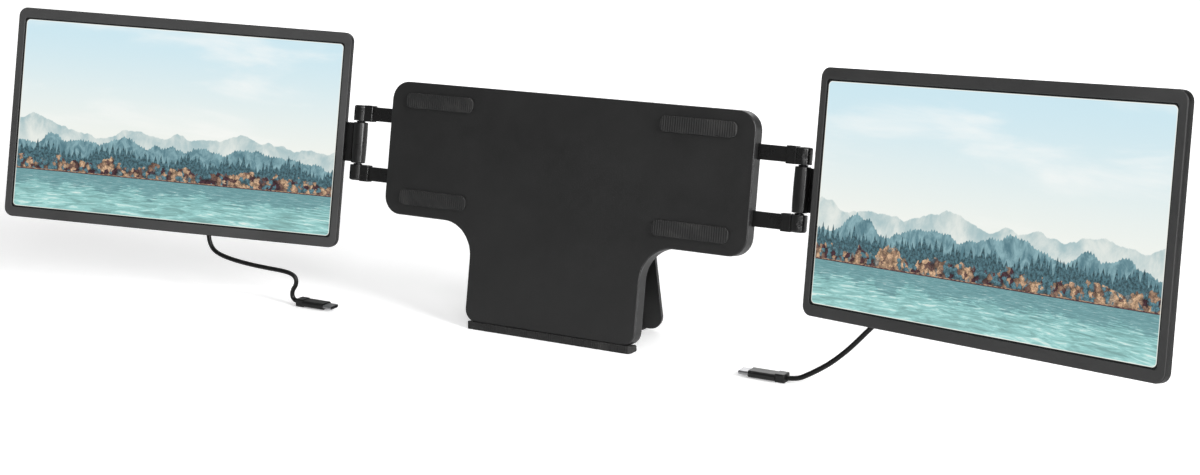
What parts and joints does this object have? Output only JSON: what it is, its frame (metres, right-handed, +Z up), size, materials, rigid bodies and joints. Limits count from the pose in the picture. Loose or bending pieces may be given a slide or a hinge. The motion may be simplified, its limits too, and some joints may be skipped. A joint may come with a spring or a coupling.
{
  "type": "laptop screen extender",
  "caption": "Slim side screens on friction hinges and sliding arms, carried by a leaned bracket with a kickstand; each screen has a short cable to the laptop.",
  "frame": {"origin": "centre of the foot strip's contact face, on the table", "axes": "+X to the user's right along the row of screens, +Y away from the user, +Z up"},
  "size_m": [0.7972, 0.124, 0.1932],
  "materials": {
    "shell_coat": "satin",
    "panel_coat": "satin",
    "screw_black": "satin",
    "slide_plastic": "matte",
    "soft_rubber": "matte",
    "stand_coat": "satin",
    "pin_steel": "satin",
    "bezel_plastic": "matte",
    "display_glass": "gloss",
    "guide_acrylic": "satin",
    "chassis_alloy": "satin",
    "hinge_coat": "satin",
    "cover_plastic": "matte",
    "board_laminate": "satin",
    "socket_steel": "satin",
    "key_plastic": "gloss",
    "carriage_steel": "satin",
    "plug_plastic": "satin",
    "cord_jacket": "satin"
  },
  "bodies": {
    "bracket": {"back_shell": "shell_coat", "front_panel": "panel_coat", "shell_screws": "screw_black", "guide_rails": "slide_plastic", "brake_pads": "slide_plastic", "grip_pads": "soft_rubber", "foot_strip": "soft_rubber", "kickstand_pins": "pin_steel"},
    "kickstand": {"kickstand": "stand_coat", "kickstand_foot": "soft_rubber"},
    "left_slider": {"left_upper_arm": "hinge_coat", "left_lower_arm": "hinge_coat", "left_hinge_pin": "pin_steel", "left_hinge_washers": "pin_steel", "left_grub_screws": "screw_black", "left_carriage": "carriage_steel", "left_arm_screws": "screw_black"},
    "left_screen": {"left_front_bezel": "bezel_plastic", "left_lcd_cell": "display_glass", "left_backlight": "guide_acrylic", "left_chassis_plate": "chassis_alloy", "left_hinge_leaf": "hinge_coat", "left_leaf_screws": "screw_black", "left_back_cover": "cover_plastic", "left_cover_screws": "screw_black", "left_driver_board": "board_laminate", "left_port_sockets": "socket_steel", "left_screen_plug": "plug_plastic", "left_laptop_plug": "plug_plastic", "left_plug_shells": "socket_steel", "left_cable": "cord_jacket"},
    "left_power_key": {"left_power_key": "key_plastic"},
    "left_menu_rocker": {"left_menu_rocker": "key_plastic"},
    "right_slider": {"right_upper_arm": "hinge_coat", "right_lower_arm": "hinge_coat", "right_hinge_pin": "pin_steel", "right_hinge_washers": "pin_steel", "right_grub_screws": "screw_black", "right_carriage": "carriage_steel", "right_arm_screws": "screw_black"},
    "right_screen": {"right_front_bezel": "bezel_plastic", "right_lcd_cell": "display_glass", "right_backlight": "guide_acrylic", "right_chassis_plate": "chassis_alloy", "right_hinge_leaf": "hinge_coat", "right_leaf_screws": "screw_black", "right_back_cover": "cover_plastic", "right_cover_screws": "screw_black", "right_driver_board": "board_laminate", "right_port_sockets": "socket_steel", "right_screen_plug": "plug_plastic", "right_laptop_plug": "plug_plastic", "right_plug_shells": "socket_steel", "right_cable": "cord_jacket"},
    "right_power_key": {"right_power_key": "key_plastic"},
    "right_menu_rocker": {"right_menu_rocker": "key_plastic"}
  },
  "joints": [
    {"name": "kickstand_hinge", "type": "hinge", "parent": "bracket", "child": "kickstand", "pos_m": [0, 0.02653, 0.10093], "axis": [1, 0, 0], "range_deg": [-22, 0]},
    {"name": "right_slide", "type": "slide", "parent": "bracket", "child": "right_slider", "axis": [1, 0, 0], "range_m": [-0.012, 0.045]},
    {"name": "right_swivel", "type": "hinge", "parent": "right_slider", "child": "right_screen", "pos_m": [0.1612, 0.02041, 0.10769], "axis": [0, -0.1736, -0.9848], "range_deg": [-109, 91]},
    {"name": "right_power_press", "type": "slide", "parent": "right_screen", "child": "right_power_key", "axis": [-0.3256, -0.9312, 0.1642], "range_m": [0, 0.0005], "stiffness_N_per_m": 300, "springref_m": -0.0005},
    {"name": "right_menu_rock", "type": "hinge", "parent": "right_screen", "child": "right_menu_rocker", "pos_m": [0.31253, -0.024, 0.10374], "axis": [0, 0.1736, 0.9848], "range_deg": [-4, 4], "stiffness_Nm_per_rad": 0.02},
    {"name": "left_slide", "type": "slide", "parent": "bracket", "child": "left_slider", "axis": [-1, 0, 0], "range_m": [-0.012, 0.045]},
    {"name": "left_swivel", "type": "hinge", "parent": "left_slider", "child": "left_screen", "pos_m": [-0.1612, 0.02041, 0.10769], "axis": [0, 0.1736, 0.9848], "range_deg": [-109, 91]},
    {"name": "left_power_press", "type": "slide", "parent": "left_screen", "child": "left_power_key", "axis": [0.3256, -0.9312, 0.1642], "range_m": [0, 0.0005], "stiffness_N_per_m": 300, "springref_m": -0.0005},
    {"name": "left_menu_rock", "type": "hinge", "parent": "left_screen", "child": "left_menu_rocker", "pos_m": [-0.31253, -0.024, 0.10374], "axis": [0, 0.1736, 0.9848], "range_deg": [-4, 4], "stiffness_Nm_per_rad": 0.02}
  ]
}
